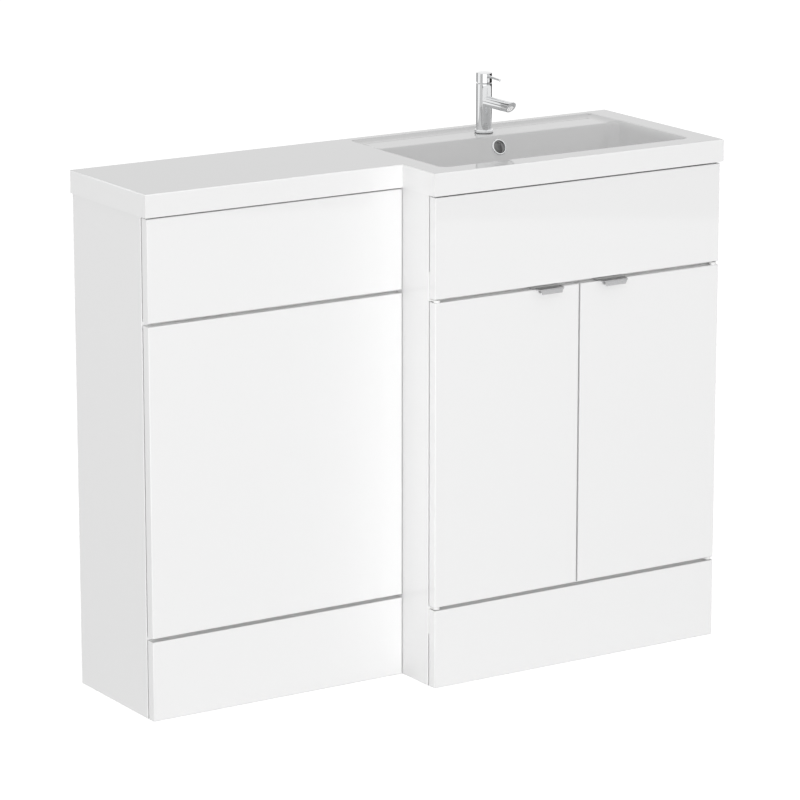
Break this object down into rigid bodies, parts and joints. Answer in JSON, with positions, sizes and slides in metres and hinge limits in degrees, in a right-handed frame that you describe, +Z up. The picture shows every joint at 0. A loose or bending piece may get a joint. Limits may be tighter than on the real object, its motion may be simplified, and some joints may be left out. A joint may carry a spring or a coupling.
{
  "type": "combination vanity unit",
  "caption": "White gloss bathroom combination unit: a WC cabinet joined to a deeper hinged-door vanity under one L-shaped basin top with a chrome lever tap and overflow.",
  "frame": {"origin": "middle of the overall box, on the floor", "axes": "+X to the right along the wall, seen from the front; +Y to the wall; +Z up"},
  "size_m": [1.108, 0.372, 1.0132],
  "materials": {
    "white_gloss": "white high-gloss lacquer on fibreboard",
    "white_board": "white melamine-faced board",
    "basin_gel_coat": "white gloss cast mineral",
    "chrome": "polished chrome",
    "satin_chrome": "satin chrome",
    "steel": "zinc plated",
    "white_steel": "white powder coat on steel",
    "brass": "plain machined",
    "rubber": "matt",
    "white_plastic": "moulded",
    "grey_plastic": "moulded",
    "beech": "fluted beech"
  },
  "bodies": {
    "cabinet": {"wc_side_left": "white_gloss", "wc_side_right": "white_gloss", "wc_front_panel": "white_gloss", "wc_plinth": "white_gloss", "vanity_side_left": "white_gloss", "vanity_side_right": "white_gloss", "vanity_fascia": "white_gloss", "vanity_plinth": "white_gloss", "wc_top_front_rail": "white_board", "wc_top_rear_rail": "white_board", "wc_mid_rail": "white_board", "wc_low_rail": "white_board", "vanity_base": "white_board", "vanity_back_panel": "white_board", "vanity_rear_rail": "white_board", "vanity_mid_rail": "white_board", "vanity_shelf": "white_board", "basin_worktop": "basin_gel_coat", "tap_body": "chrome", "tap_base_ring": "chrome", "overflow_ring": "chrome", "waste_body": "chrome", "hinge_arms": "white_steel", "hinge_screws": "steel", "panel_screws": "steel", "unit_bolts": "steel", "wall_brackets": "steel", "shelf_pins": "steel", "tap_stud": "steel", "tap_clamp_plate": "steel", "tap_stud_nut": "brass", "tap_seals": "rubber", "waste_seals": "rubber", "door_bumpers": "rubber", "fixing_blocks": "white_plastic", "access_sockets": "white_plastic", "waste_backnut": "white_plastic", "overflow_duct": "white_plastic", "tap_aerator": "white_plastic", "tap_cartridge": "grey_plastic", "carcass_dowels": "beech"},
    "left_door": {"door_left": "white_gloss", "handle_left": "satin_chrome", "handle_screws_left": "satin_chrome", "hinge_bushes_left": "white_plastic"},
    "right_door": {"door_right": "white_gloss", "handle_right": "satin_chrome", "handle_screws_right": "satin_chrome", "hinge_bushes_right": "white_plastic"},
    "access_panel": {"wc_access_panel": "white_gloss", "access_studs": "white_plastic"},
    "plug": {"waste_plug": "chrome"},
    "turret": {"tap_turret": "brass"},
    "tap_handle": {"tap_cap": "chrome", "tap_lever": "chrome", "tap_tilt_pin": "steel"}
  },
  "joints": [
    {"name": "left_door_swing", "type": "hinge", "parent": "cabinet", "child": "left_door", "pos_m": [-0.0415, -0.1645, 0.4155], "axis": [0, 0, -1], "range_deg": [0, 95]},
    {"name": "right_door_swing", "type": "hinge", "parent": "cabinet", "child": "right_door", "pos_m": [0.5415, -0.1645, 0.4155], "axis": [0, 0, 1], "range_deg": [0, 95]},
    {"name": "access_panel_pull", "type": "slide", "parent": "cabinet", "child": "access_panel", "axis": [0, -1, 0], "range_m": [0, 0.035]},
    {"name": "plug_lift", "type": "slide", "parent": "cabinet", "child": "plug", "axis": [0, 0, 1], "range_m": [0, 0.008]},
    {"name": "lever_swivel", "type": "hinge", "parent": "cabinet", "child": "turret", "pos_m": [0.25, 0.131, 0.99], "axis": [0, 0, 1], "range_deg": [-45, 45]},
    {"name": "lever_lift", "type": "hinge", "parent": "turret", "child": "tap_handle", "pos_m": [0.25, 0.131, 0.999], "axis": [-1, 0, 0], "range_deg": [0, 15]}
  ]
}
